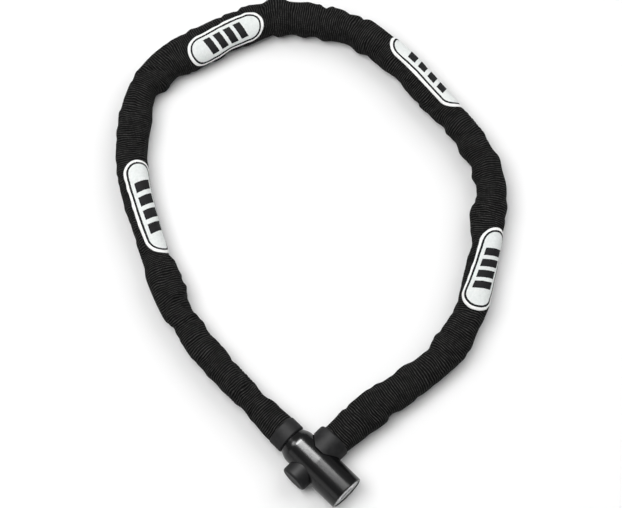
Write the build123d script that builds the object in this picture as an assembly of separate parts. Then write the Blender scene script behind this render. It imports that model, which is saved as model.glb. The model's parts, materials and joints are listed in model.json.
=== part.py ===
from build123d import *
import math
import os

# Bicycle chain lock: a square-link chain in a textile sleeve, closed into a loop by a cylinder
# lock. All sizes are in millimetres.
# The loop lies flat. The origin is at the middle of the underside of the whole lock's box.
# The design frame starts where the cylinder axis crosses the bolt axis, and everything is
# moved to the origin at the end.

# ---------------------------------------------------------------- driving dimensions
# Loop: corners of the chain's middle line, from the cross point O of cylinder and bolt.
KEY_HEADING = -45.0                # direction from O to the key face, degrees from +X
BOLT_HEADING = 45.0                # direction in which the bolt is pulled out
FIRST_CORNER = 59.0                # on the cylinder axis, behind the lock
LAST_CORNER = 42.0                 # on the bolt axis
LOOP_CORNERS = [(-78, 83), (-99, 137), (-113, 190), (-102, 244), (-58, 270), (-15, 287),
                (40, 268), (78, 225), (110, 182), (101, 125), (85, 66)]
ARC_SHARE = 0.45                   # share of the shorter run that a corner's arc takes

# Lock housing, along the cylinder axis (positive towards the key)
HOUSING_R = 11.1
NECK_R = 8.65
NECK_AT = -17.1
SHOULDER_AT = -10.8
SHOULDER_R = 10.75
BARREL_AT = 4.0                    # where the barrel has its full radius
KEY_FACE = 27.3
FACE_EDGE = 0.7
COVER_WALL = 1.5
CORE_FACE = 26.9
FIT_GAP = 0.1                      # between the core and its cover

# Cylinder, cam and latch
PLUG_R = 6.0
PLUG_GAP = 0.05
PLUG_BACK = 9.4
KEYWAY = (8.6, 2.3)
KEYWAY_DEPTH = 16.0
WAFER_COUNT = 5
WAFER_PITCH = 2.4
WAFER_FIRST = 13.2
WAFER_THICK = 0.9
WAFER_SIZE = (10.8, 4.6)
CAM_R = 5.0
CAM_BACK = 7.6
CAM_ARM = 2.0                      # eccentricity of the cam pin
CAM_PIN_R = 1.0
CAM_REST_ANGLE = 135.0             # from the bolt direction, about the cylinder axis
LATCH_TRAVEL = 2.0 * CAM_ARM * math.sin(math.radians(45.0))

# Bolt and cross bore, along the bolt axis (positive outwards)
BOLT_R = 4.5
BORE_R = 4.8
BOLT_TIP = -13.8
GROOVE_R = 2.3
GROOVE_WIDTH = 4.4
CAP_R = 8.25
CAP_END = -16.3
CAP_EDGE = 1.5
CAP_FLOOR = 1.9
BOLT_HEAD_R = 7.5
BOLT_COLLAR_R = 10.7
BOLT_COLLAR_END = 18.0
SADDLE_GAP = 0.35                  # between the bolt's collar and the housing

# Chain collar at the housing's neck
COLLAR_R = 9.6
COLLAR_LENGTH = 9.1
COLLAR_BORE_R = 8.25
RING_R = (7.7, 8.15)

# Chain: square bar, alternately flat and upright
LINK_BAR = 4.0
LINK_INNER_WIDTH = 7.0
LINK_COUNT = 45
LINK_PLAY = 0.6                    # slack at each end of a link
FIRST_PIVOT = 24.0                 # from O along the chain, inside the collar
LAST_PIVOT = 19.0                  # from O along the chain, at the bolt's end
LINKS_IN_SEGMENT = [4, 4, 5, 4, 4, 4, 5, 4, 4, 4, 3]
FORK_SLOT = LINK_BAR + 0.8
PIN_R = 2.0

# Sleeve and its woven labels
SLEEVE_R = 9.3
SLEEVE_WALL = 1.0
SLEEVE_GAP = 3.4                   # open at every hinge, so that a bend has room
COLLAR_CLEARANCE = 0.3
LABEL_CHORD = 16.5                 # straight across a label's two long edges
LABEL_THICK = 0.4
# Each label: its segment, its shift along the segment, its lean from +Z to the outside and
# its length where the sleeve is gathered
LABELS = [(3, -5.4, -43.0, 62.0), (5, 3.5, -12.0, 50.0), (7, 3.0, 62.0, 57.0),
          (9, 2.5, 51.0, 54.0)]

# Small fits and fillets
COLLAR_EDGE = 0.9
BOLT_COLLAR_EDGE = 1.3
PIN_FIT = 0.02
PIN_HALF_LENGTH = 6.8
DRILL_PIN_R = 1.1
DRILL_PIN_HALF_LENGTH = 3.4
DRILL_PIN_OFFSET = 7.8             # above and below the cylinder axis
DRILL_PIN_AT = 22.5
CAM_SCREW_R = 0.78
CAM_SCREW_HOLE_R = 0.82
CLIP_GROOVE = (0.6, 1.5)           # from the plug's back end
CLIP_DEPTH = 0.9
PAST = 40.0                        # long enough to cut through everything

# ---------------------------------------------------------------- directions and helpers


def heading(angle):
    return Vector(math.cos(math.radians(angle)), math.sin(math.radians(angle)), 0)


KEY_DIR = heading(KEY_HEADING)
BOLT_DIR = heading(BOLT_HEADING)
UP = Vector(0, 0, 1)


def key_plane(at=0.0):
    """Across the cylinder axis: local x runs along the bolt, local y is up."""
    return Plane(origin=KEY_DIR * at, x_dir=BOLT_DIR, z_dir=KEY_DIR)


def bolt_plane(at=0.0):
    """Across the bolt axis: local x runs away from the key, local y is up."""
    return Plane(origin=BOLT_DIR * at, x_dir=-KEY_DIR, z_dir=BOLT_DIR)


def rod(plane, radius, start, end):
    """Cylinder about the plane's normal, from start to end along it."""
    place = plane.location * Location((0, 0, start))
    return place * Cylinder(radius, end - start, align=(Align.CENTER, Align.CENTER, Align.MIN))


def tube(plane, outer, inner, start, end):
    return rod(plane, outer, start, end) - rod(plane, inner, start - 1, end + 1)


def block(plane, xs, ys, zs):
    """Box between pairs of limits along the plane's own three axes."""
    middle = [(pair[0] + pair[1]) / 2 for pair in (xs, ys, zs)]
    size = [pair[1] - pair[0] for pair in (xs, ys, zs)]
    return plane.location * (Location(middle) * Box(*size))


def turned(plane, edges):
    """Solid turned about the plane's normal from edges drawn as (radius, 0, along)."""
    profile = make_face(Wire(edges))
    return plane.location * revolve(profile, Axis.Z)


def side(radius, along):
    return (radius, 0, along)


# ---------------------------------------------------------------- the chain's middle line


def route_corners():
    """Corners from O round the loop and back to O."""
    first = -KEY_DIR * FIRST_CORNER
    last = BOLT_DIR * LAST_CORNER
    return [Vector(0, 0, 0), first] + [Vector(x, y, 0) for x, y in LOOP_CORNERS] + [last, Vector(0, 0, 0)]


class Piece:
    """One straight run, or one arc when it has a centre."""

    def __init__(self, start, end, centre=None, turn=0.0):
        self.start, self.end, self.centre, self.turn = start, end, centre, turn
        if centre is None:
            self.length = (end - start).length
        else:
            self.length = (start - centre).length * abs(turn)

    def point(self, along):
        share = along / self.length
        if self.centre is None:
            return self.start + (self.end - self.start) * share
        return self.centre + (self.start - self.centre).rotate(Axis.Z, math.degrees(self.turn * share))

    def edge(self, start, end):
        if self.centre is None:
            return Edge.make_line(self.point(start), self.point(end))
        middle = self.point((start + end) / 2)
        return Edge.make_three_point_arc(self.point(start), middle, self.point(end))


def route_pieces(corners):
    """Straight runs joined by tangent arcs, each as large as its two runs allow."""
    pieces = []
    at = corners[0]
    radii = []
    for before, corner, after in zip(corners, corners[1:], corners[2:]):
        back, ahead = corner - before, after - corner
        turn = math.atan2(back.cross(ahead).Z, back.dot(ahead))
        reach = ARC_SHARE * min(back.length, ahead.length)
        radius = reach / math.tan(abs(turn) / 2)
        radii.append(radius)
        start = corner - back.normalized() * reach
        end = corner + ahead.normalized() * reach
        across = back.normalized().rotate(Axis.Z, math.copysign(90, turn))
        pieces.append(Piece(at, start))
        pieces.append(Piece(start, end, start + across * radius, turn))
        at = end
    pieces.append(Piece(at, corners[-1]))
    return pieces, radii


ROUTE, RADII = route_pieces(route_corners())
ROUTE_LENGTH = sum(piece.length for piece in ROUTE)


def route_point(along):
    """Place on the middle line at a distance from O."""
    for piece in ROUTE:
        if along <= piece.length:
            return piece.point(along)
        along -= piece.length
    return ROUTE[-1].end


def route_direction(along):
    return (route_point(along + 0.05) - route_point(along - 0.05)).normalized()


def route_wire(start, end):
    """The middle line between two distances from O."""
    edges = []
    passed = 0.0
    for piece in ROUTE:
        low, high = max(start - passed, 0.0), min(end - passed, piece.length)
        if high - low > 1e-6:
            edges.append(piece.edge(low, high))
        passed += piece.length
    return Wire(edges)


def swept_tube(outer, inner, start, end):
    """Hollow tube along the middle line."""
    path = route_wire(start, end)
    section = Plane(origin=path @ 0, z_dir=path % 0)
    body = sweep(section * Circle(outer), path=path)
    bore = sweep(section * Circle(inner), path=path)
    return body - bore


# Link pivots are evenly spaced between the anchor pin and the bolt's link pin.
LINK_PITCH = (ROUTE_LENGTH - FIRST_PIVOT - LAST_PIVOT) / LINK_COUNT
SEGMENT_ENDS = []
for count in LINKS_IN_SEGMENT:
    passed_links = SEGMENT_ENDS[-1][1] if SEGMENT_ENDS else 0
    SEGMENT_ENDS.append((passed_links, passed_links + count))


def pivot_at(index):
    return FIRST_PIVOT + index * LINK_PITCH


HINGES = [route_point(pivot_at(last)) for first, last in SEGMENT_ENDS[:-1]]

# ---------------------------------------------------------------- the lock


def housing_outline():
    """Half outline of the housing as edges from the neck to the key face."""
    neck = side(NECK_R, NECK_AT)
    shoulder = side(SHOULDER_R, SHOULDER_AT)
    barrel = side(HOUSING_R, BARREL_AT)
    rim = side(HOUSING_R, KEY_FACE - FACE_EDGE)
    face = side(HOUSING_R - FACE_EDGE, KEY_FACE)
    taper = Vector(HOUSING_R - SHOULDER_R, 0, BARREL_AT - SHOULDER_AT)
    neck_curve = Edge.make_spline([Vector(*neck), Vector(*shoulder)],
                                  tangents=[Vector(0.38, 0, 1), taper])
    rim_arc = Edge.make_tangent_arc(Vector(*rim), Vector(0, 0, 1), Vector(*face))
    return [Edge.make_line(side(0, NECK_AT), neck), neck_curve, Edge.make_line(shoulder, barrel),
            Edge.make_line(barrel, rim), rim_arc, Edge.make_line(face, side(0, KEY_FACE)),
            Edge.make_line(side(0, KEY_FACE), side(0, NECK_AT))]


CORE_R = HOUSING_R - COVER_WALL
CORE_SHOULDER = SHOULDER_AT + 2.0
ANCHOR_END = NECK_AT - COLLAR_LENGTH - 4.0


def core_blank(gap=0.0):
    """Turned blank of the core: barrel, cone and anchor block."""
    small = BOLT_HEAD_R - 0.2 + gap
    points = [(0, ANCHOR_END), (small, ANCHOR_END), (small, NECK_AT + 0.4),
              (CORE_R + gap, CORE_SHOULDER + 2.0), (CORE_R + gap, CORE_FACE), (0, CORE_FACE)]
    places = [side(radius, along) for radius, along in points]
    edges = [Edge.make_line(a, b) for a, b in zip(places, places[1:] + places[:1])]
    return turned(key_plane(), edges)


def make_housing_cover():
    shell = turned(key_plane(), housing_outline())
    shell -= core_blank(FIT_GAP)
    shell -= rod(key_plane(), CORE_R + FIT_GAP, CORE_FACE - 1, KEY_FACE + 1)
    shell -= rod(bolt_plane(), BORE_R + 0.5, -HOUSING_R - 2, HOUSING_R + 2)
    return shell


LATCH_SLOT_X = (-4.4, 4.4)
LATCH_SLOT_Y = (-6.9, 12.0)
LATCH_SLOT_Z = (2.4, CAM_BACK)
LATCH_COVER_AT = 7.4


def make_lock_core():
    core = core_blank()
    core -= rod(key_plane(), PLUG_R + PLUG_GAP, PLUG_BACK - 0.1, CORE_FACE + 1)
    core -= rod(key_plane(), CAM_R + 0.4, CAM_BACK - 0.2, PLUG_BACK)
    core -= rod(bolt_plane(), BORE_R, -HOUSING_R - 2, HOUSING_R + 2)
    core -= block(key_plane(), LATCH_SLOT_X, LATCH_SLOT_Y, LATCH_SLOT_Z)
    # broach grooves that take the wafers when the key is out
    groove_x = PLUG_R + 1.3
    core -= block(key_plane(), (-groove_x, groove_x), (-2.6, 2.6), (WAFER_FIRST - 1, 24.2))
    # fork for the chain's first link, and its pin hole
    fork_end = NECK_AT - 1.0
    core -= block(key_plane(), (-9, 9), (-FORK_SLOT / 2, FORK_SLOT / 2), (ANCHOR_END - 1, fork_end))
    core -= rod(anchor_pin_plane(), PIN_R + PIN_FIT, -PAST, PAST)
    for height in (-DRILL_PIN_OFFSET, DRILL_PIN_OFFSET):
        core -= rod(drill_pin_plane(height), DRILL_PIN_R + PIN_FIT, -12, DRILL_PIN_HALF_LENGTH + 0.1)
    return core


def anchor_pin_plane():
    at = -KEY_DIR * (FIRST_PIVOT + LINK_PLAY + PIN_R)
    return Plane(origin=at, x_dir=KEY_DIR, z_dir=UP)


def drill_pin_plane(height):
    at = KEY_DIR * DRILL_PIN_AT + UP * height
    return Plane(origin=at, x_dir=KEY_DIR, z_dir=BOLT_DIR)


def make_drill_guard_pins():
    heights = (-DRILL_PIN_OFFSET, DRILL_PIN_OFFSET)
    return [rod(drill_pin_plane(height), DRILL_PIN_R, -DRILL_PIN_HALF_LENGTH, DRILL_PIN_HALF_LENGTH)
            for height in heights]


def make_chain_anchor_pin():
    return rod(anchor_pin_plane(), PIN_R, -PIN_HALF_LENGTH, PIN_HALF_LENGTH)


def make_latch_cover():
    plate = block(key_plane(), (-4.3, 4.3), (LATCH_COVER_AT, 11), (2.5, CAM_BACK - 0.1))
    return plate & rod(key_plane(), CORE_R, 0, CAM_BACK + 2)


def make_blind_end_cap():
    """Cap on the far end of the cross bore, saddled on the housing."""
    cap = rod(bolt_plane(), CAP_R, CAP_END, -HOUSING_R + 4)
    far = cap.faces().sort_by(Axis(origin=(0, 0, 0), direction=tuple(BOLT_DIR)))[0]
    cap = fillet(far.edges(), CAP_EDGE)
    cap -= rod(bolt_plane(), BORE_R, CAP_END + CAP_FLOOR, 0)
    cap -= rod(key_plane(), HOUSING_R + PIN_FIT, -PAST, PAST)
    return cap


def make_chain_collar():
    ring = tube(key_plane(), COLLAR_R, COLLAR_BORE_R, NECK_AT - COLLAR_LENGTH, NECK_AT - 0.1)
    outer_rims = [edge for edge in ring.edges().filter_by(GeomType.CIRCLE) if edge.radius > COLLAR_R - 0.1]
    return fillet(outer_rims, COLLAR_EDGE)


def make_chain_clamp_ring():
    return tube(key_plane(), RING_R[1], RING_R[0], NECK_AT - COLLAR_LENGTH + 1, NECK_AT - 1.5)


# ---------------------------------------------------------------- cylinder, cam and latch


def wafer_plane(index):
    return key_plane(WAFER_FIRST + index * WAFER_PITCH)


def make_cylinder_plug():
    plug = rod(key_plane(), PLUG_R, PLUG_BACK, CORE_FACE)
    rim = plug.faces().sort_by(Axis(origin=(0, 0, 0), direction=tuple(KEY_DIR)))[-1]
    plug = chamfer(rim.edges(), 0.25)
    half_long, half_wide = KEYWAY[0] / 2, KEYWAY[1] / 2
    plug -= block(key_plane(), (-half_long, half_long), (-half_wide, half_wide),
                  (CORE_FACE - KEYWAY_DEPTH, CORE_FACE + 1))
    half_long, half_wide = WAFER_SIZE[0] / 2 + 0.6, WAFER_SIZE[1] / 2 + 0.05
    for index in range(WAFER_COUNT):
        plug -= block(wafer_plane(index), (-half_long, half_long), (-half_wide, half_wide),
                      (-0.05, WAFER_THICK + 0.05))
    # annular groove for the retaining clip, and the cam screw's hole
    groove_start, groove_end = PLUG_BACK + CLIP_GROOVE[0], PLUG_BACK + CLIP_GROOVE[1]
    plug -= tube(key_plane(), PLUG_R + 1, PLUG_R - CLIP_DEPTH, groove_start, groove_end)
    plug -= rod(key_plane(), CAM_SCREW_HOLE_R, PLUG_BACK - 1, PLUG_BACK + 0.9)
    return plug


def make_wafers():
    """Flat wafers at key height, each with a window for the key's blade."""
    wafers = []
    for index in range(WAFER_COUNT):
        half_long, half_wide = WAFER_SIZE[0] / 2, WAFER_SIZE[1] / 2
        plate = block(wafer_plane(index), (-half_long, half_long), (-half_wide, half_wide),
                      (0, WAFER_THICK))
        window = 0.25 * ((index * 2) % 3)
        plate -= block(wafer_plane(index), (-3.9 + window, 3.5 + window), (-1.3, 1.3),
                       (-1, WAFER_THICK + 1))
        wafers.append(plate)
    return wafers


def make_wafer_springs():
    """Small leaf springs that push the wafers out when the key leaves."""
    springs = []
    for index in range(WAFER_COUNT):
        springs.append(block(wafer_plane(index), (5.48, 5.7), (-1.6, 1.6), (0.1, WAFER_THICK - 0.1)))
    return springs


def make_plug_retaining_clip():
    start, end = PLUG_BACK + CLIP_GROOVE[0] + 0.05, PLUG_BACK + CLIP_GROOVE[1] - 0.05
    ring = tube(key_plane(), PLUG_R - PIN_FIT, PLUG_R - CLIP_DEPTH + 0.05, start, end)
    mouth = block(key_plane(), (-2.2, 2.2), (0, 8), (PLUG_BACK, PLUG_BACK + 2))
    return ring - mouth


def cam_pin_plane():
    angle = math.radians(CAM_REST_ANGLE)
    at = BOLT_DIR * (CAM_ARM * math.cos(angle)) + UP * (CAM_ARM * math.sin(angle))
    return Plane(origin=at, x_dir=BOLT_DIR, z_dir=KEY_DIR)


def make_lock_cam():
    disc = rod(key_plane(), CAM_R, CAM_BACK, PLUG_BACK - 0.02)
    disc += rod(cam_pin_plane(), CAM_PIN_R, BOLT_R + 0.7, CAM_BACK + 0.1)
    return disc - rod(key_plane(), CAM_SCREW_HOLE_R, CAM_BACK - 1, PLUG_BACK)


def make_cam_screw():
    return rod(key_plane(), CAM_SCREW_R, CAM_BACK + 0.1, PLUG_BACK + 0.85)


def make_latch():
    """Slider beside the bolt: its slot holds the cam pin, its nose drops into the bolt's groove."""
    slider_back = BOLT_R + 0.5
    plate = block(key_plane(), (-4.2, 4.2), (-3.9, 7.0), (slider_back, CAM_BACK - 0.15))
    nose = block(key_plane(), (-1.9, 1.9), (1.2 + LATCH_TRAVEL, 7.0), (2.6, slider_back + 0.1))
    reach = CAM_ARM * math.cos(math.radians(CAM_REST_ANGLE))
    height = CAM_ARM * math.sin(math.radians(CAM_REST_ANGLE))
    grip = CAM_PIN_R + 0.13
    slot = block(key_plane(), (-CAM_ARM - CAM_PIN_R - 0.2, reach + CAM_PIN_R + 0.2),
                 (height - grip, height + grip), (slider_back - 1, CAM_BACK + 1))
    return plate + nose - slot


# ---------------------------------------------------------------- the bolt's end


def make_locking_bolt():
    half = GROOVE_WIDTH / 2
    head_end = LAST_PIVOT + LINK_PLAY + 2 * PIN_R + 2.0
    tip = 1.0
    points = [(0, BOLT_TIP), (BOLT_R - tip, BOLT_TIP), (BOLT_R, BOLT_TIP + tip), (BOLT_R, -half),
              (GROOVE_R, -half), (GROOVE_R, half), (BOLT_R, half), (BOLT_R, HOUSING_R + 1.0),
              (BOLT_HEAD_R, HOUSING_R + 1.0), (BOLT_HEAD_R, head_end), (0, head_end)]
    places = [side(radius, along) for radius, along in points]
    edges = [Edge.make_line(a, b) for a, b in zip(places, places[1:] + places[:1])]
    bolt = turned(bolt_plane(), edges)
    bolt -= block(bolt_plane(), (-9, 9), (-FORK_SLOT / 2, FORK_SLOT / 2), (HOUSING_R + 2.0, head_end + 1))
    bolt -= rod(bolt_pin_plane(), PIN_R + PIN_FIT, -PAST, PAST)
    return bolt


def bolt_pin_plane():
    at = BOLT_DIR * (LAST_PIVOT + LINK_PLAY + PIN_R)
    return Plane(origin=at, x_dir=BOLT_DIR, z_dir=UP)


def make_bolt_link_pin():
    return rod(bolt_pin_plane(), PIN_R, -PIN_HALF_LENGTH, PIN_HALF_LENGTH)


def make_bolt_collar():
    """Rubber collar on the bolt's head, saddled to fit round the housing."""
    collar = rod(bolt_plane(), BOLT_COLLAR_R, HOUSING_R - 6, BOLT_COLLAR_END)
    far = collar.faces().sort_by(Axis(origin=(0, 0, 0), direction=tuple(BOLT_DIR)))[-1]
    collar = fillet(far.edges(), BOLT_COLLAR_EDGE)
    collar -= rod(bolt_plane(), COLLAR_BORE_R, HOUSING_R + 1.6, BOLT_COLLAR_END + 1)
    collar -= rod(bolt_plane(), BOLT_HEAD_R + 0.1, HOUSING_R + 0.9, HOUSING_R + 2)
    collar -= rod(bolt_plane(), BOLT_R + 0.1, 0, HOUSING_R + 2)
    collar -= rod(key_plane(), HOUSING_R + SADDLE_GAP, -PAST, PAST)
    return collar


def make_bolt_clamp_ring():
    return tube(bolt_plane(), RING_R[1], RING_R[0], HOUSING_R + 2.2, BOLT_COLLAR_END - 1)


# ---------------------------------------------------------------- chain, sleeve and labels


def make_link(upright):
    """One square-bar link along local X, flat or standing on edge."""
    inner = LINK_PITCH + 2 * LINK_PLAY
    outer_size = (inner + 2 * LINK_BAR, LINK_INNER_WIDTH + 2 * LINK_BAR)
    outline = RectangleRounded(*outer_size, 5.5) - RectangleRounded(inner, LINK_INNER_WIDTH, 2.0)
    link = extrude(outline, amount=LINK_BAR / 2, both=True)
    return Rotation(90, 0, 0) * link if upright else link


LINK_SHAPES = [make_link(False), make_link(True)]


def make_chain_links(first, last):
    links = []
    for index in range(first, last):
        start, end = route_point(pivot_at(index)), route_point(pivot_at(index + 1))
        along = end - start
        turn = math.degrees(math.atan2(along.Y, along.X))
        place = Location((start + end) * 0.5, (0, 0, turn))
        links.append(place * LINK_SHAPES[index % 2])
    return links


def segment_limits(index):
    """Start and end of one sleeve segment along the route."""
    first, last = SEGMENT_ENDS[index]
    start = pivot_at(first) + SLEEVE_GAP / 2
    end = pivot_at(last) - SLEEVE_GAP / 2
    if index == 0:
        start = COLLAR_CLEARANCE - NECK_AT + COLLAR_LENGTH
    if index == len(SEGMENT_ENDS) - 1:
        end = ROUTE_LENGTH - BOLT_COLLAR_END - COLLAR_CLEARANCE
    return start, end


def make_sleeve(index):
    start, end = segment_limits(index)
    return swept_tube(SLEEVE_R, SLEEVE_R - SLEEVE_WALL, start, end)


def make_label(index, shift, lean, length):
    """Woven label sewn on the sleeve: a stadium that follows the sleeve's surface."""
    start, end = segment_limits(index)
    middle = (start + end) / 2 + shift
    along = route_direction(middle)
    outward = UP.rotate(Axis((0, 0, 0), tuple(along)), -lean)
    face = Plane(origin=route_point(middle), x_dir=along, z_dir=outward)
    stamp = extrude(face * SlotOverall(length, LABEL_CHORD), amount=20)
    return swept_tube(SLEEVE_R + LABEL_THICK, SLEEVE_R + 0.02, start + 1, end - 1) & stamp


# ---------------------------------------------------------------- all the nodes


def make_nodes():
    nodes = {
        "housing_cover": make_housing_cover(),
        "lock_core": make_lock_core(),
        "blind_end_cap": make_blind_end_cap(),
        "latch_cover": make_latch_cover(),
        "drill_guard_pins": make_drill_guard_pins(),
        "chain_anchor_pin": make_chain_anchor_pin(),
        "chain_collar": make_chain_collar(),
        "chain_clamp_ring": make_chain_clamp_ring(),
        "cylinder_plug": make_cylinder_plug(),
        "wafers": make_wafers(),
        "wafer_springs": make_wafer_springs(),
        "plug_retaining_clip": make_plug_retaining_clip(),
        "lock_cam": make_lock_cam(),
        "cam_screw": make_cam_screw(),
        "latch": make_latch(),
        "locking_bolt": make_locking_bolt(),
        "bolt_link_pin": make_bolt_link_pin(),
        "bolt_collar": make_bolt_collar(),
        "bolt_clamp_ring": make_bolt_clamp_ring(),
    }
    for index, (first, last) in enumerate(SEGMENT_ENDS):
        nodes[f"sleeve_{index + 1:02d}"] = make_sleeve(index)
        nodes[f"chain_links_{index + 1:02d}"] = make_chain_links(first, last)
    for number, (segment, shift, lean, length) in enumerate(LABELS):
        nodes[f"label_{number + 1}"] = make_label(segment - 1, shift, lean, length)
    return nodes


def as_solids(shape):
    if isinstance(shape, list):
        return [solid for item in shape for solid in item.solids()]
    return shape.solids()


def origin_shift(nodes):
    """From O to the middle of the underside of everything's box."""
    box = Compound([solid for shape in nodes.values() for solid in as_solids(shape)]).bounding_box()
    return Vector(-(box.min.X + box.max.X) / 2, -(box.min.Y + box.max.Y) / 2, -box.min.Z)


NODES = make_nodes()
SHIFT = origin_shift(NODES)

os.makedirs("parts", exist_ok=True)
for name, shape in NODES.items():
    solids = [Location(SHIFT) * solid for solid in as_solids(shape)]
    export_step(solids[0] if len(solids) == 1 else Compound(solids), f"parts/{name}.step")

print("route length", round(ROUTE_LENGTH, 1), "pitch", round(LINK_PITCH, 3))
print("arc radii", [round(radius) for radius in RADII])
print("O at", [round(value, 3) for value in SHIFT])
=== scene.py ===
import json
import math
import random

import bpy
import numpy as np
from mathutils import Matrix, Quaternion, Vector


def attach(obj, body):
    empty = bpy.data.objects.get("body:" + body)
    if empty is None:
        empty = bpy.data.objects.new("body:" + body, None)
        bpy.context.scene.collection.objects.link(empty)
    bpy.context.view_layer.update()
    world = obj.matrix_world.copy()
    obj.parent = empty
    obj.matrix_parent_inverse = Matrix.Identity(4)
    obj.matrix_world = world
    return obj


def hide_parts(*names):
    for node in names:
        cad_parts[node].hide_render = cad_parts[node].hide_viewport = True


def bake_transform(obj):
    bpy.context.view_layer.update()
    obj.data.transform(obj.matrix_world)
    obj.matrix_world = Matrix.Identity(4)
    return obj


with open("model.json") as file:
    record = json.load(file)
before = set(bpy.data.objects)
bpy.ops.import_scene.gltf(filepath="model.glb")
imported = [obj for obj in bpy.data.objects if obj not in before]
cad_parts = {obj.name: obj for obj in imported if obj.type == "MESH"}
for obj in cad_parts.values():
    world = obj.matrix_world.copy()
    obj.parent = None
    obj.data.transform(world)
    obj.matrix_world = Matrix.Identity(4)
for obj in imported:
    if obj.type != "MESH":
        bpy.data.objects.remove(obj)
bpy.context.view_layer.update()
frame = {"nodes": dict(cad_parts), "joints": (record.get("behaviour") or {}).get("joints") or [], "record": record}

# Looks of a bicycle chain lock: a ribbed textile sleeve with four woven labels, closed into a
# loop by a gloss black cylinder lock. Lengths are in metres unless a name ends in _MM.

MM = 0.001

# ---------------------------------------------------------------- the sleeve's middle line
# The cylinder's joint is placed where the cylinder's and the bolt's axes cross.
CYLINDER = next(joint for joint in frame["joints"] if joint["name"] == "cylinder_turn")
CROSS = Vector(CYLINDER["pos_m"])
AXIS_HEIGHT = CROSS.z

# Corners round the loop from the cross point, in millimetres: up the cylinder's axis, round
# the loop and back down the bolt's axis.
LOOP_CORNERS_MM = [(0, 0), (-41.72, 41.72), (-78, 83), (-99, 137), (-113, 190), (-102, 244),
                   (-58, 270), (-15, 287), (40, 268), (78, 225), (110, 182), (101, 125),
                   (85, 66), (29.7, 29.7), (0, 0)]
SLEEVE_START_MM = 25.6             # inside the housing's collar, from the cross point
SLEEVE_STOP_MM = 17.2              # inside the bolt's collar, from the line's far end
RING_STEP_MM = 1.0
AROUND = 72                        # points round each ring
POINTS_PER_BEND = 80


def middle_line(step_mm):
    """Points of the smooth line through the loop, evenly spaced, in millimetres."""
    corners = [np.array(corner, float) for corner in LOOP_CORNERS_MM]
    points = []
    last = len(corners) - 3
    for index in range(last + 1):
        bend = corners[index + 1]
        begin = corners[0] if index == 0 else (corners[index] + bend) / 2
        end = corners[-1] if index == last else (bend + corners[index + 2]) / 2
        for share in np.linspace(0, 1, POINTS_PER_BEND, endpoint=index == last):
            rest = 1 - share
            points.append(rest ** 2 * begin + 2 * share * rest * bend + share ** 2 * end)
    points = np.array(points)
    lengths = np.concatenate([[0], np.cumsum(np.linalg.norm(np.diff(points, axis=0), axis=1))])
    start, stop = SLEEVE_START_MM, lengths[-1] - SLEEVE_STOP_MM
    along = np.linspace(start, stop, int(round((stop - start) / step_mm)) + 1)
    xs = np.interp(along, lengths, points[:, 0])
    ys = np.interp(along, lengths, points[:, 1])
    return along, np.stack([xs, ys], axis=1)


ALONG, LINE = middle_line(RING_STEP_MM)
STEP_MM = ALONG[1] - ALONG[0]
TANGENT = np.gradient(LINE, STEP_MM, axis=0)
TANGENT /= np.linalg.norm(TANGENT, axis=1)[:, None]
OUTWARD = np.stack([-TANGENT[:, 1], TANGENT[:, 0]], axis=1)
THETA = np.linspace(0, 2 * math.pi, AROUND, endpoint=False)   # 0 outside, a quarter turn is up

# ---------------------------------------------------------------- the sleeve's shape
# Half widths to the inside and the outside of the loop, at distances along the line.
INSIDE_MM = [(20, 8.6), (28, 8.9), (57, 6.3), (71, 6.6), (84, 9.3), (99, 7.9), (106, 9.5),
             (117, 7.4), (125, 8.2), (129, 10.4), (150, 10.6), (157, 8.2), (200, 9.2),
             (250, 10.5), (268, 6.4), (272, 6.5), (277, 11.0), (292, 9.2), (299, 12.6),
             (322, 12.6), (330, 11.0), (345, 11.8), (362, 10.2), (366, 12.2), (376, 10.0),
             (384, 12.2), (393, 9.8), (398, 11.8), (404, 9.4), (411, 8.1), (417, 8.0),
             (423, 10.6), (430, 8.8), (445, 10.4), (455, 8.6), (471, 10.3), (481, 10.3),
             (494, 9.3), (500, 7.6), (505, 10.2), (512, 7.8), (521, 11.2), (534, 7.6),
             (541, 10.8), (547, 7.8), (558, 8.2), (569, 11.6), (579, 9.6), (587, 6.8),
             (600, 6.9), (613, 8.0), (626, 7.8), (635, 8.3), (649, 9.8), (652, 9.2),
             (658, 10.6), (667, 8.1), (680, 8.7), (686, 9.8), (702, 8.2), (704, 9.8),
             (716, 10.4), (722, 10.3), (741, 8.9), (760, 8.6)]
OUTSIDE_MM = [(20, 8.6), (30, 9.4), (55, 6.9), (63, 8.2), (97, 8.8), (113, 7.1), (121, 9.6),
              (147, 9.6), (157, 6.8), (200, 9.0), (287, 10.4), (309, 10.8), (332, 10.8),
              (361, 11.0), (366, 11.8), (376, 9.0), (384, 10.1), (392, 8.5), (396, 9.1),
              (403, 10.3), (414, 10.0), (428, 10.1), (435, 9.1), (496, 7.2), (500, 6.6),
              (504, 7.9), (516, 7.0), (529, 7.2), (535, 9.4), (542, 8.8), (550, 9.6),
              (563, 10.5), (578, 10.1), (609, 10.3), (627, 10.8), (640, 9.7), (651, 11.0),
              (657, 11.0), (667, 10.0), (678, 9.5), (697, 11.0), (702, 11.1), (707, 9.1),
              (711, 10.8), (716, 11.4), (741, 9.8), (760, 8.6)]
PROFILE_BLUR_MM = 1.3
FLOOR_CLEARANCE_MM = 0.15
TOP_MM = 8.8                       # height of the sleeve's back over flat links
UPRIGHT_RISE_MM = 0.9              # and how much more over links that stand on edge
SWELL_MM = 0.5
SWELL_WAVE_MM = 23.0
LINK_PITCH_MM = 16.0
FIRST_PIVOT_MM = 24.0
END_TOP_MM = 8.5                   # heights inside the two collars, over and under the line
END_BOTTOM_MM = 8.6
END_FADE_MM = 22.0
SECTION_POWER = 2.35               # above 2, so the section is a rounded box


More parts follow.
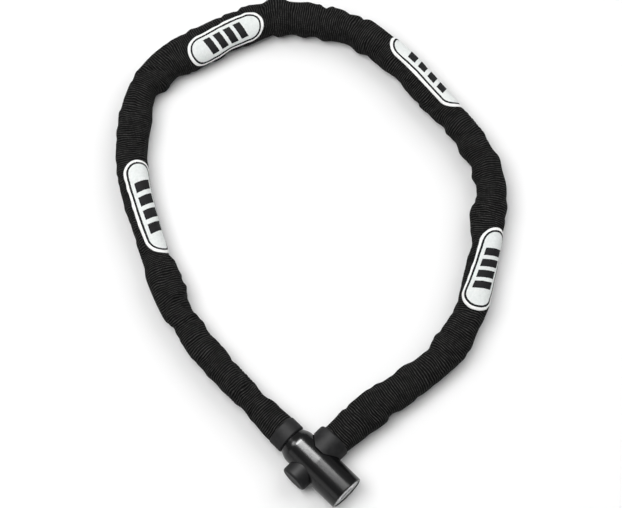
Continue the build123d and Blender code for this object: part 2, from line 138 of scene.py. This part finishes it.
def smooth_profile(pairs, blur_mm):
    """Half width at every ring, with the corners of the list rounded off."""
    values = np.interp(ALONG, [pair[0] for pair in pairs], [pair[1] for pair in pairs])
    reach = int(3 * blur_mm / STEP_MM)
    offsets = np.arange(-reach, reach + 1) * STEP_MM
    weights = np.exp(-0.5 * (offsets / blur_mm) ** 2)
    padded = np.pad(values, reach, mode="edge")
    return np.convolve(padded, weights / weights.sum(), mode="valid")


def bump(distance, width):
    return np.exp(-0.5 * (distance / width) ** 2)


def wrapped(angle):
    return (angle + math.pi) % (2 * math.pi) - math.pi


# Labels: body, middle along the line, leans at both ends from straight up towards the outside
# in degrees, and length where the sleeve is gathered
LABELS = [("chain_03", 186.6, (-43.0, -28.0), 63.0), ("chain_05", 329.8, (-44.0, -27.0), 52.5),
          ("chain_07", 468.8, (42.0, 41.0), 60.5), ("chain_09", 605.5, (50.0, 14.0), 53.5)]
LABEL_WIDTH_MM = 20.5
LABEL_FLAT_MM = 60.0
MEAN_RADIUS_MM = 9.5
COVER_MARGIN_MM = 1.5
COVER_FADE_MM = 3.0
COVER_CALM = 0.8                   # how much of a fold a label flattens


def label_up(distance, leans, length):
    """Angle of a label's middle at a distance along from the label's centre."""
    share = np.clip(distance / length + 0.5, 0, 1)
    return math.pi / 2 - np.radians(leans[0] + (leans[1] - leans[0]) * share)


def label_cover():
    """1 under a label and 0 away from it, for every ring and angle."""
    cover = np.zeros((len(ALONG), AROUND))
    for _, middle, leans, length in LABELS:
        up = label_up(ALONG - middle, leans, length)
        ends = np.clip(np.abs(ALONG - middle) - (length - LABEL_WIDTH_MM) / 2, 0, None)
        across = wrapped(THETA[None, :] - up[:, None]) * MEAN_RADIUS_MM
        inset = LABEL_WIDTH_MM / 2 + COVER_MARGIN_MM - np.hypot(ends[:, None], across)
        cover = np.maximum(cover, np.clip(inset / COVER_FADE_MM, 0, 1))
    return cover


LINK_CLEARANCE_MM = 0.7
EDGE_SAMPLES = 9
BLOCK = 4000                       # samples placed at a time, to spare memory
SPREAD_STEPS = 3
ROUND_FALL_MM = 0.12               # fall of the bridging cloth from one angle to the next
ALONG_FALL_MM = 0.25               # and from one ring to the next
CLOTH_GIVE = 0.15


def link_reach():
    """Least radius that keeps the sleeve clear of the chain, for every ring and angle."""
    need = np.zeros((len(ALONG), AROUND))
    for name, piece in frame["nodes"].items():
        if not name.startswith("chain_links_"):
            continue
        spots = np.array([vertex.co for vertex in piece.data.vertices]) - np.array(CROSS)
        spots /= MM
        pairs = np.array([edge.vertices for edge in piece.data.edges])
        shares = np.linspace(0, 1, EDGE_SAMPLES)[:, None, None]
        samples = (spots[pairs[:, 0]] * (1 - shares) + spots[pairs[:, 1]] * shares).reshape(-1, 3)
        for block in np.array_split(samples, max(1, len(samples) // BLOCK)):
            away = block[:, None, :2] - LINE[None, :, :]
            ring = np.argmin((away ** 2).sum(axis=2), axis=1)
            lateral = (away[np.arange(len(block)), ring] * OUTWARD[ring]).sum(axis=1)
            radius = np.hypot(lateral, block[:, 2])
            angle = np.arctan2(block[:, 2], lateral) % (2 * math.pi)
            step = np.round(angle / (2 * math.pi) * AROUND).astype(int) % AROUND
            np.maximum.at(need, (ring, step), radius)
    # spread over the neighbouring rings and angles, so that the cloth bridges the bars
    for _ in range(SPREAD_STEPS):
        beside = np.maximum(np.roll(need, 1, axis=1), np.roll(need, -1, axis=1))
        need = np.maximum(need, beside - ROUND_FALL_MM)
        grown = need.copy()
        grown[1:] = np.maximum(grown[1:], need[:-1] - ALONG_FALL_MM)
        grown[:-1] = np.maximum(grown[:-1], need[1:] - ALONG_FALL_MM)
        need = grown
    return need + LINK_CLEARANCE_MM


# Ranges that each fold's measures are drawn from, with a fixed seed
FOLD_SEED = 7
FOLD_ANGLE = (-0.4, 3.6)
FOLD_SLANT_MM = (-9.0, 9.0)
FOLD_WIDTH_MM = (1.0, 2.6)
FOLD_REACH = (0.35, 0.9)
FOLD_DEPTH_MM = (0.7, 1.9)
FOLD_SIGNS = (-1.0, -1.0, 0.8)
FOLD_GAP_MM = (2.0, 5.0)
FOLD_START_MM = 6.0
FOLD_STOP_MM = 8.0
SIDE_FOLD_SHARE = 0.4              # what is left of a fold at the sides and underneath


def fold_field(rng):
    """Soft crosswise folds: ridges that run part of the way round and fade at both ends."""
    field = np.zeros((len(ALONG), AROUND))
    place = ALONG[0] + FOLD_START_MM
    while place < ALONG[-1] - FOLD_STOP_MM:
        angle = rng.uniform(*FOLD_ANGLE)
        slant = rng.uniform(*FOLD_SLANT_MM)
        width = rng.uniform(*FOLD_WIDTH_MM)
        reach = rng.uniform(*FOLD_REACH)
        depth = rng.uniform(*FOLD_DEPTH_MM) * rng.choice(FOLD_SIGNS)
        around = wrapped(THETA - angle)
        distance = ALONG[:, None] - place - slant * np.sin(around)[None, :]
        # a ridge with a wider and shallower hollow beside it
        ridge = bump(distance, width) - 0.55 * bump(distance - 2.2 * width, 1.3 * width)
        field += depth * ridge * bump(around, reach)[None, :]
        place += rng.uniform(*FOLD_GAP_MM)
    return field


def sleeve_surface():
    """The sleeve as an array of points, rings by angles, in metres in the row frame."""
    rng = random.Random(FOLD_SEED)
    inside = smooth_profile(INSIDE_MM, PROFILE_BLUR_MM)
    outside = smooth_profile(OUTSIDE_MM, PROFILE_BLUR_MM)
    phase = (ALONG - FIRST_PIVOT_MM) / LINK_PITCH_MM
    upright = 0.5 - 0.5 * np.cos(math.pi * (phase - 0.5))      # 1 over links that stand on edge
    top = TOP_MM + UPRIGHT_RISE_MM * upright + SWELL_MM * np.sin(ALONG / SWELL_WAVE_MM)
    bottom = np.full(len(ALONG), AXIS_HEIGHT / MM - FLOOR_CLEARANCE_MM)
    ends = np.clip(np.minimum(ALONG - ALONG[0], ALONG[-1] - ALONG) / END_FADE_MM, 0, 1)
    ends = ends * ends * (3 - 2 * ends)
    top = END_TOP_MM + (top - END_TOP_MM) * ends
    bottom = END_BOTTOM_MM + (bottom - END_BOTTOM_MM) * ends
    cos, sin = np.cos(THETA)[None, :], np.sin(THETA)[None, :]
    across = np.where(cos > 0, outside[:, None], inside[:, None])
    height = np.where(sin > 0, top[:, None], bottom[:, None])
    wide = np.abs(cos / across) ** SECTION_POWER
    high = np.abs(sin / height) ** SECTION_POWER
    radius = (wide + high) ** (-1 / SECTION_POWER)
    folds = fold_field(rng) * ends[:, None] * (1 - COVER_CALM * label_cover())
    # the side outlines follow the profiles above, so the folds fade there and underneath
    radius = radius + folds * (SIDE_FOLD_SHARE + (1 - SIDE_FOLD_SHARE) * np.clip(sin, 0, 1))
    need = link_reach()
    radius = np.where(radius > need, radius, need + CLOTH_GIVE * (radius - need).clip(-1, 0))
    x = LINE[:, 0, None] + OUTWARD[:, 0, None] * radius * cos
    y = LINE[:, 1, None] + OUTWARD[:, 1, None] * radius * cos
    z = radius * sin
    points = np.stack([x, y, z], axis=2) * MM + np.array(CROSS)
    points[:, :, 2] = np.maximum(points[:, :, 2], FLOOR_CLEARANCE_MM * MM)
    return points


SLEEVE = sleeve_surface()


def surface_normals(points):
    ahead = np.gradient(points, axis=0)
    round_way = np.roll(points, -1, axis=1) - np.roll(points, 1, axis=1)
    normals = np.cross(round_way, ahead)
    return normals / np.linalg.norm(normals, axis=2)[:, :, None]


NORMALS = surface_normals(SLEEVE)

# ---------------------------------------------------------------- materials


def new_material(name):
    material = bpy.data.materials.new(name)
    material.use_nodes = True
    tree = material.node_tree
    shader = tree.nodes["Principled BSDF"]
    return material, tree, shader


def node(tree, kind, **values):
    made = tree.nodes.new(kind)
    for key, value in values.items():
        setattr(made, key, value)
    return made


def math_node(tree, operation, first, second=None, third=None):
    made = node(tree, "ShaderNodeMath", operation=operation)
    for slot, value in enumerate((first, second, third)):
        if value is None:
            continue
        if isinstance(value, (int, float)):
            made.inputs[slot].default_value = value
        else:
            tree.links.new(value, made.inputs[slot])
    return made.outputs[0]


def noise_node(tree, vector, scale, detail=2.0, roughness=0.5):
    made = node(tree, "ShaderNodeTexNoise")
    made.inputs["Scale"].default_value = scale
    made.inputs["Detail"].default_value = detail
    made.inputs["Roughness"].default_value = roughness
    tree.links.new(vector, made.inputs["Vector"])
    return made.outputs["Fac"]


def ramp_node(tree, factor, stops):
    """Colour ramp from (place, colour) stops."""
    made = node(tree, "ShaderNodeValToRGB")
    elements = made.color_ramp.elements
    while len(elements) < len(stops):
        elements.new(0.5)
    for element, (place, colour) in zip(elements, stops):
        element.position = place
        element.color = (*colour, 1.0)
    tree.links.new(factor, made.inputs["Fac"])
    return made.outputs["Color"]


def bump_node(tree, height, distance, strength=1.0):
    made = node(tree, "ShaderNodeBump")
    made.inputs["Distance"].default_value = distance
    made.inputs["Strength"].default_value = strength
    tree.links.new(height, made.inputs["Height"])
    return made.outputs["Normal"]


def object_place(tree):
    return node(tree, "ShaderNodeTexCoord").outputs["Object"]


def uv_place(tree, name):
    made = node(tree, "ShaderNodeUVMap", uv_map=name)
    split = node(tree, "ShaderNodeSeparateXYZ")
    tree.links.new(made.outputs["UV"], split.inputs["Vector"])
    return split.outputs["X"], split.outputs["Y"]


RIB_PITCH_MM = 1.35
RIB_DRIFT_MM = 5.0
THREAD_PITCH_MM = 0.9


def sleeve_material():
    """Black ribbed textile: fine ribs across the sleeve, waving a little, with a painted highlight on the crests
    and painted shade in the hollows between ribs.
    """
    material, tree, shader = new_material("sleeve_ribbed_textile")
    around, along = uv_place(tree, "weave")
    place = object_place(tree)
    wave = noise_node(tree, place, 60.0, 2.0)
    fine = noise_node(tree, place, 420.0, 2.0)
    drift = math_node(tree, "MULTIPLY", math_node(tree, "SUBTRACT", wave, 0.5), RIB_DRIFT_MM * MM)
    row = math_node(tree, "ADD", along, drift)
    turns = math_node(tree, "MULTIPLY", row, 2 * math.pi / (RIB_PITCH_MM * MM))
    rib = math_node(tree, "MULTIPLY_ADD", math_node(tree, "SINE", turns), 0.5, 0.5)
    # the warp threads that cross the ribs
    threads = math_node(tree, "MULTIPLY", around, 2 * math.pi / (THREAD_PITCH_MM * MM))
    warp = math_node(tree, "MULTIPLY_ADD", math_node(tree, "SINE", threads), 0.5, 0.5)
    crest = math_node(tree, "MULTIPLY", rib, math_node(tree, "MULTIPLY_ADD", warp, 0.35, 0.65))
    tone = math_node(tree, "MULTIPLY", crest, math_node(tree, "MULTIPLY_ADD", fine, 0.9, 0.45))
    # painted highlight and painted shade: the colour runs from near black in the hollows between ribs to grey on
    # the crests, in place of the light the ribs catch
    colour = ramp_node(tree, tone, [(0.0, (0.0010, 0.0010, 0.0011)),
                                    (0.45, (0.0055, 0.0055, 0.0055)),
                                    (1.0, (0.062, 0.061, 0.059))])
    tree.links.new(colour, shader.inputs["Base Color"])
    shader.inputs["Roughness"].default_value = 0.82
    shader.inputs["Specular IOR Level"].default_value = 0.04
    height = math_node(tree, "MULTIPLY_ADD", fine, 0.25, crest)
    tree.links.new(bump_node(tree, height, 0.0004, 1.0), shader.inputs["Normal"])
    return material


BAND_MM = (1.8, 3.0)               # inset of the end of the white edge, and of the black line
BAR_PITCH_MM = 8.6
BAR_SLANT = 0.28
BAR_HALF_HEIGHT_MM = 5.2
BAR_HALF_WIDTH_MM = 2.9
BAR_COUNT = 4
ROW_PITCH_MM = 0.45
PICK_PITCH_MM = 0.6


def label_material():
    """Woven label: white stitched edge, black line, off-white field with slanted black bars."""
    material, tree, shader = new_material("label_woven_bars")
    along, across = uv_place(tree, "label")
    place = object_place(tree)
    half_straight = (LABEL_FLAT_MM - LABEL_WIDTH_MM) / 2 * MM
    beyond = math_node(tree, "MAXIMUM", math_node(tree, "SUBTRACT",
                       math_node(tree, "ABSOLUTE", along), half_straight), 0.0)
    far = math_node(tree, "SQRT", math_node(tree, "ADD",
                    math_node(tree, "MULTIPLY", beyond, beyond),
                    math_node(tree, "MULTIPLY", across, across)))
    inset = math_node(tree, "SUBTRACT", LABEL_WIDTH_MM / 2 * MM, far)
    jitter = noise_node(tree, place, 900.0, 2.0)
    inset = math_node(tree, "ADD", inset, math_node(tree, "MULTIPLY",
                      math_node(tree, "SUBTRACT", jitter, 0.5), 0.0004))
    in_line = math_node(tree, "MULTIPLY",
                        math_node(tree, "GREATER_THAN", inset, BAND_MM[0] * MM),
                        math_node(tree, "LESS_THAN", inset, BAND_MM[1] * MM))
    slanted = math_node(tree, "ADD", along, math_node(tree, "MULTIPLY", across, BAR_SLANT))
    shifted = math_node(tree, "ADD", slanted, BAR_PITCH_MM / 2 * MM)
    cell = math_node(tree, "ABSOLUTE", math_node(tree, "WRAP", shifted,
                     BAR_PITCH_MM / 2 * MM, -BAR_PITCH_MM / 2 * MM))
    edge = math_node(tree, "MULTIPLY", math_node(tree, "SUBTRACT", jitter, 0.5), 0.0005)
    thick = math_node(tree, "LESS_THAN",
                      math_node(tree, "ADD", cell, edge), BAR_HALF_WIDTH_MM * MM)
    reach = BAR_PITCH_MM * BAR_COUNT / 2 * MM
    near = math_node(tree, "LESS_THAN", math_node(tree, "ABSOLUTE", slanted), reach)
    low = math_node(tree, "LESS_THAN", math_node(tree, "ADD",
                    math_node(tree, "ABSOLUTE", across), edge), BAR_HALF_HEIGHT_MM * MM)
    bar = math_node(tree, "MULTIPLY", math_node(tree, "MULTIPLY", thick, near), low)
    ink = math_node(tree, "MAXIMUM", in_line, bar)
    # thread rows of the weave
    rows = math_node(tree, "MULTIPLY_ADD", math_node(tree, "SINE",
                     math_node(tree, "MULTIPLY", along, 2 * math.pi / (ROW_PITCH_MM * MM))), 0.5, 0.5)
    picks = math_node(tree, "MULTIPLY_ADD", math_node(tree, "SINE",
                      math_node(tree, "MULTIPLY", across, 2 * math.pi / (PICK_PITCH_MM * MM))),
                      0.5, 0.5)
    weave = math_node(tree, "MULTIPLY", rows, picks)
    tone = math_node(tree, "MULTIPLY_ADD", noise_node(tree, place, 700.0, 3.0), 0.5,
                     math_node(tree, "MULTIPLY", weave, 0.5))
    pale = ramp_node(tree, tone, [(0.1, (0.60, 0.63, 0.62)), (0.55, (0.83, 0.85, 0.84))])
    field = math_node(tree, "GREATER_THAN", inset, BAND_MM[1] * MM)
    white = node(tree, "ShaderNodeMix", data_type="RGBA")
    white.inputs["A"].default_value = (0.88, 0.88, 0.87, 1)
    tree.links.new(field, white.inputs["Factor"])
    tree.links.new(pale, white.inputs["B"])
    mixed = node(tree, "ShaderNodeMix", data_type="RGBA")
    mixed.inputs["B"].default_value = (0.008, 0.008, 0.009, 1)
    tree.links.new(ink, mixed.inputs["Factor"])
    tree.links.new(white.outputs["Result"], mixed.inputs["A"])
    tree.links.new(mixed.outputs["Result"], shader.inputs["Base Color"])
    shader.inputs["Roughness"].default_value = 0.75
    shader.inputs["Specular IOR Level"].default_value = 0.12
    height = math_node(tree, "MULTIPLY_ADD", ink, 0.6, weave)
    tree.links.new(bump_node(tree, height, 0.00012, 0.8), shader.inputs["Normal"])
    return material


def moulded_material(name, dark, light, roughness, grain, depth):
    """Moulded plastic or rubber with a fine grain and a mottled tone."""
    material, tree, shader = new_material(name)
    place = object_place(tree)
    tone = noise_node(tree, place, 160.0, 4.0, 0.6)
    colour = ramp_node(tree, tone, [(0.35, dark), (0.65, light)])
    tree.links.new(colour, shader.inputs["Base Color"])
    shader.inputs["Roughness"].default_value = roughness
    shader.inputs["Specular IOR Level"].default_value = 0.14
    tree.links.new(bump_node(tree, noise_node(tree, place, grain, 3.0), depth, 0.6),
                   shader.inputs["Normal"])
    return material


def gloss_material():
    """High-gloss black moulding with a very faint waviness and fine handling marks."""
    material, tree, shader = new_material("housing_gloss_black")
    place = object_place(tree)
    shader.inputs["Base Color"].default_value = (0.0025, 0.0025, 0.0028, 1)
    marks = noise_node(tree, place, 900.0, 4.0, 0.7)
    made = node(tree, "ShaderNodeMapRange")
    made.inputs["To Min"].default_value = 0.19
    made.inputs["To Max"].default_value = 0.25
    tree.links.new(marks, made.inputs["Value"])
    tree.links.new(made.outputs["Result"], shader.inputs["Roughness"])
    shader.inputs["Specular IOR Level"].default_value = 0.3
    tree.links.new(bump_node(tree, noise_node(tree, place, 90.0, 2.0), 0.00008, 0.35),
                   shader.inputs["Normal"])
    return material


def metal_material(name, dark, light, roughness, stretch):
    """Turned, ground or stamped metal with fine streaks along one axis."""
    material, tree, shader = new_material(name)
    place = object_place(tree)
    scale = node(tree, "ShaderNodeMapping")
    scale.inputs["Scale"].default_value = stretch
    tree.links.new(place, scale.inputs["Vector"])
    streak = noise_node(tree, scale.outputs["Vector"], 500.0, 4.0, 0.65)
    colour = ramp_node(tree, streak, [(0.3, dark), (0.7, light)])
    tree.links.new(colour, shader.inputs["Base Color"])
    shader.inputs["Metallic"].default_value = 1.0
    made = node(tree, "ShaderNodeMapRange")
    made.inputs["To Min"].default_value = roughness - 0.06
    made.inputs["To Max"].default_value = roughness + 0.08
    tree.links.new(streak, made.inputs["Value"])
    tree.links.new(made.outputs["Result"], shader.inputs["Roughness"])
    tree.links.new(bump_node(tree, streak, 0.00003, 0.5), shader.inputs["Normal"])
    return material


FINISHES = {
    "housing_black": gloss_material(),
    "cap_plastic": moulded_material("cap_matt_plastic", (0.007, 0.007, 0.0075),
                                    (0.013, 0.013, 0.0135), 0.55, 1400.0, 0.00006),
    "collar_rubber": moulded_material("collar_matt_rubber", (0.006, 0.006, 0.0065),
                                      (0.015, 0.015, 0.0155), 0.62, 1100.0, 0.00010),
    "core_metal": metal_material("core_turned_nickel", (0.52, 0.52, 0.53), (0.74, 0.74, 0.74),
                                 0.28, (1, 1, 1)),
    "plug_metal": metal_material("plug_turned_nickel", (0.60, 0.60, 0.61), (0.80, 0.80, 0.80),
                                 0.24, (1, 1, 1)),
    "hard_steel": metal_material("hard_ground_steel", (0.28, 0.28, 0.30), (0.46, 0.46, 0.48),
                                 0.32, (6, 1, 1)),
    "ring_steel": metal_material("zinc_plated_strip", (0.42, 0.42, 0.44), (0.62, 0.62, 0.63),
                                 0.35, (1, 1, 4)),
    "spring_steel": metal_material("bright_spring_steel", (0.38, 0.38, 0.40), (0.58, 0.58, 0.60),
                                   0.25, (1, 6, 1)),
    "chain_steel": metal_material("chain_satin_steel", (0.22, 0.22, 0.24), (0.40, 0.40, 0.42),
                                  0.38, (1, 1, 3)),
    "wafer_brass": metal_material("stamped_brass", (0.55, 0.40, 0.18), (0.78, 0.62, 0.32),
                                  0.34, (1, 1, 1)),
    "sleeve_textile": sleeve_material(),
    "label_woven": label_material(),
}


def dress_nodes():
    """Every CAD node gets the finish of its material slot."""
    for subpart in frame["record"]["subparts"]:
        piece = frame["nodes"][subpart["node"]]
        piece.data.materials.clear()
        piece.data.materials.append(FINISHES[subpart["material_slot"]])


# ---------------------------------------------------------------- sleeve and label pieces
HINGES = [joint for joint in frame["joints"] if joint["name"].startswith("chain_")]
SLEEVE_GIRTH_MM = 2 * math.pi * 9.4


def nearest_ring(place):
    """The ring whose middle is nearest to a point in the row frame."""
    flat = np.array([(place[0] - CROSS.x) / MM, (place[1] - CROSS.y) / MM])
    return int(np.argmin(np.linalg.norm(LINE - flat, axis=1)))


HINGE_RINGS = [nearest_ring(joint["pos_m"]) for joint in HINGES]


def add_mesh(name, points, faces, normals=None):
    mesh = bpy.data.meshes.new(name)
    mesh.from_pydata([tuple(point) for point in points], [], faces)
    mesh.validate()
    mesh.shade_smooth()
    if normals is not None:
        mesh.normals_split_custom_set_from_vertices([tuple(normal) for normal in normals])
    piece = bpy.data.objects.new(name, mesh)
    bpy.context.scene.collection.objects.link(piece)
    return piece


def set_uv(piece, name, values):
    """UV map from one (u, v) pair for each corner, in metres."""
    layer = piece.data.uv_layers.new(name=name)
    layer.data.foreach_set("uv", np.array(values, np.float32).ravel())


def make_sleeve_piece(number, first, last):
    """A stretch of the sleeve between two rings, open at both ends."""
    points = SLEEVE[first:last + 1].reshape(-1, 3)
    normals = NORMALS[first:last + 1].reshape(-1, 3)
    faces = []
    uvs = []
    for ring in range(last - first):
        low = ALONG[first + ring] * MM
        high = ALONG[first + ring + 1] * MM
        for step in range(AROUND):
            after = (step + 1) % AROUND
            faces.append((ring * AROUND + step, ring * AROUND + after,
                          (ring + 1) * AROUND + after, (ring + 1) * AROUND + step))
            left = step / AROUND * SLEEVE_GIRTH_MM * MM
            right = (step + 1) / AROUND * SLEEVE_GIRTH_MM * MM
            uvs += [(left, low), (right, low), (right, high), (left, high)]
    piece = add_mesh(f"sleeve_cloth_{number:02d}", points, faces, normals)
    set_uv(piece, "weave", uvs)
    piece.data.materials.append(FINISHES["sleeve_textile"])
    return piece


def make_sleeve():
    """One piece for each hinge, cut halfway between hinges."""
    cuts = [0]
    for before, after in zip(HINGE_RINGS, HINGE_RINGS[1:]):
        cuts.append((before + after) // 2)
    cuts.append(len(ALONG) - 1)
    for index, joint in enumerate(HINGES):
        first, last = cuts[index], cuts[index + 1]
        piece = make_sleeve_piece(index + 1, first, last)
        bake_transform(piece)
        nodes = [f"sleeve_{index + 1:02d}"]
        if index == len(HINGES) - 1:
            nodes.append(f"sleeve_{index + 2:02d}")
        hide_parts(*nodes)


def surface_at(along, theta):
    """Point and normal of the sleeve at a distance along and an angle, between its rings."""
    ring = (along - ALONG[0]) / STEP_MM
    low = int(min(max(math.floor(ring), 0), len(ALONG) - 2))
    part = ring - low
    step = (theta / (2 * math.pi) * AROUND) % AROUND
    left = int(step) % AROUND
    right = (left + 1) % AROUND
    share = step - int(step)

    def mixed(grid):
        near = grid[low, left] * (1 - share) + grid[low, right] * share
        far = grid[low + 1, left] * (1 - share) + grid[low + 1, right] * share
        return near * (1 - part) + far * part

    point, normal = mixed(SLEEVE), mixed(NORMALS)
    return point, normal / np.linalg.norm(normal)


LABEL_ROUND = 40                   # points round each end of a label
LABEL_STRAIGHT = 44                # points along each long side
LABEL_INSETS_MM = [0.0, 0.15, 0.5, 1.0, 1.5, 1.8, 2.4, 3.0, 4.0, 5.0, 6.2, 7.5, 9.0]
LABEL_RISE_MM = 0.45
LABEL_FIELD_DROP_MM = 0.15
LABEL_GAP_MM = 0.05                # between the sleeve and the label's border


def stadium(inset, half):
    """Outline of a label shrunk by inset, as (along, across) pairs; its straight side is 2 half."""
    radius = LABEL_WIDTH_MM / 2 - inset
    outline = []
    for index in range(LABEL_STRAIGHT):
        outline.append((half - 2 * half * index / LABEL_STRAIGHT, radius))
    for index in range(LABEL_ROUND):
        turn = math.pi * index / LABEL_ROUND
        outline.append((-half - radius * math.sin(turn), radius * math.cos(turn)))
    for index in range(LABEL_STRAIGHT):
        outline.append((-half + 2 * half * index / LABEL_STRAIGHT, -radius))
    for index in range(LABEL_ROUND):
        turn = math.pi * index / LABEL_ROUND
        outline.append((half + radius * math.sin(turn), -radius * math.cos(turn)))
    return outline


def label_rise(inset):
    """Height of the label over the sleeve: a raised stitched edge and a lower field."""
    if inset < 0.1:
        return 0.0
    edge = LABEL_RISE_MM * min(1.0, inset / 0.5)
    return edge - LABEL_FIELD_DROP_MM * min(max((inset - 1.6) / 0.6, 0), 1)


def make_label(number, body, middle, leans, length):
    """One label: rings of points from its border inwards, closed on a spine."""
    half = (length - LABEL_WIDTH_MM) / 2
    flat_half = (LABEL_FLAT_MM - LABEL_WIDTH_MM) / 2
    ring = SLEEVE[int(round((middle - ALONG[0]) / STEP_MM))]
    size = np.linalg.norm(ring - ring.mean(axis=0), axis=1).mean() / MM
    points, places = [], []
    for inset in LABEL_INSETS_MM:
        for (along, across), (flat_along, _) in zip(stadium(inset, half), stadium(inset, flat_half)):
            up = float(label_up(along, leans, length))
            point, normal = surface_at(middle + along, up - across / size)
            points.append(point + normal * (label_rise(inset) + LABEL_GAP_MM) * MM)
            places.append((flat_along * MM, across * MM))
    count = 2 * (LABEL_STRAIGHT + LABEL_ROUND)
    # the spine: one point for each pair of opposite long-side points, and one for each end
    spine_first = len(points)
    for index in range(LABEL_STRAIGHT + 1):
        share = 1 - 2 * index / LABEL_STRAIGHT
        up = float(label_up(half * share, leans, length))
        point, normal = surface_at(middle + half * share, up)
        points.append(point + normal * (label_rise(LABEL_WIDTH_MM / 2) + LABEL_GAP_MM) * MM)
        places.append((flat_half * share * MM, 0.0))
    faces = []
    for level in range(len(LABEL_INSETS_MM) - 1):
        for index in range(count):
            after = (index + 1) % count
            faces.append((level * count + index, level * count + after,
                          (level + 1) * count + after, (level + 1) * count + index))
    inner = (len(LABEL_INSETS_MM) - 1) * count

    def spine(index):
        """Spine point that an inner outline point joins."""
        index %= count
        if index <= LABEL_STRAIGHT:
            return spine_first + index
        if index <= LABEL_STRAIGHT + LABEL_ROUND:
            return spine_first + LABEL_STRAIGHT
        if index <= 2 * LABEL_STRAIGHT + LABEL_ROUND:
            return spine_first + 2 * LABEL_STRAIGHT + LABEL_ROUND - index
        return spine_first

    for index in range(count):
        after = (index + 1) % count
        near, far = spine(index), spine(after)
        face = (inner + index, inner + after, far)
        faces.append(face if near == far else face + (near,))
    piece = add_mesh(f"woven_label_{number}", points, faces)
    uvs = [places[piece.data.loops[loop].vertex_index] for loop in range(len(piece.data.loops))]
    set_uv(piece, "label", uvs)
    piece.data.materials.append(FINISHES["label_woven"])
    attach(piece, body)
    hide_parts(f"label_{number}")


# ---------------------------------------------------------------- stage


CAMERA_TARGET = Vector((0.000485, -0.002938, 0.0))
CAMERA_DISTANCE = 1.2
CAMERA_ELEVATION = math.radians(70)
CAMERA_LENS_MM = 115.756


def make_camera():
    """Camera in front of the lock and well above it, with the whole loop in view."""
    data = bpy.data.cameras.new("camera")
    camera = bpy.data.objects.new("camera", data)
    bpy.context.scene.collection.objects.link(camera)
    away = Vector((0, -math.cos(CAMERA_ELEVATION), math.sin(CAMERA_ELEVATION)))
    camera.location = CAMERA_TARGET + away * CAMERA_DISTANCE
    camera.rotation_euler = (-away).to_track_quat("-Z", "Y").to_euler()
    data.sensor_width = 36.0
    data.lens = CAMERA_LENS_MM
    data.dof.use_dof = False
    bpy.context.scene.camera = camera


def area_light(name, place, target, size, power, shown_in, roll=0.0):
    """Soft box that lights either the gloss or everything else: shown_in is gloss or diffuse."""
    data = bpy.data.lights.new(name, "AREA")
    data.shape = "RECTANGLE"
    data.size, data.size_y = size
    data.energy = power
    light = bpy.data.objects.new(name, data)
    bpy.context.scene.collection.objects.link(light)
    light.location = place
    light.visible_glossy = shown_in == "gloss"
    light.visible_diffuse = shown_in == "diffuse"
    light.visible_camera = False
    aim = (Vector(target) - Vector(place)).to_track_quat("-Z", "Y")
    light.rotation_euler = (aim @ Quaternion((0, 0, 1), roll)).to_euler()


def make_stage():
    """Pale floor, white surroundings and the lights."""
    bpy.ops.mesh.primitive_plane_add(size=6.0, location=(0, 0, 0))
    floor = bpy.context.object
    floor.name = "studio_floor"
    material, tree, shader = new_material("studio_pale")
    shader.inputs["Base Color"].default_value = (0.86, 0.86, 0.86, 1)
    shader.inputs["Roughness"].default_value = 0.9
    shader.inputs["Specular IOR Level"].default_value = 0.1
    floor.data.materials.append(material)
    world = bpy.data.worlds.new("studio")
    bpy.context.scene.world = world
    world.use_nodes = True
    world.node_tree.nodes["Background"].inputs["Color"].default_value = (1, 1, 1, 1)
    world.node_tree.nodes["Background"].inputs["Strength"].default_value = 0.30
    # the streak on the housing: a soft box over the neck that ends part of the way down
    area_light("streak", CROSS + Vector((-0.145, 0.493, 1.10)), CROSS, (0.9, 0.36), 46.0, "gloss",
               math.radians(26))
    area_light("neck", CROSS + Vector((-0.80, 0.42, 0.82)), CROSS, (0.4, 0.4), 6.0, "gloss")
    # a faint card low on the left, for the grey flank of the housing
    area_light("card", CROSS + Vector((-0.75, -0.75, 0.32)), CROSS, (1.2, 0.55), 2.2, "gloss")
    # broad light for the floor and the cloth, kept out of the gloss
    area_light("wide", CROSS + Vector((-0.41, 0.05, 1.18)), CROSS, (0.8, 0.9), 12.5, "diffuse")
    area_light("fill", (0.8, 0.6, 1.2), (0, 0, 0), (1.3, 1.3), 11.0, "diffuse")
    bpy.context.scene.view_settings.view_transform = "Standard"


make_camera()
make_stage()
dress_nodes()
make_sleeve()
for label_number, label in enumerate(LABELS):
    make_label(label_number + 1, *label)
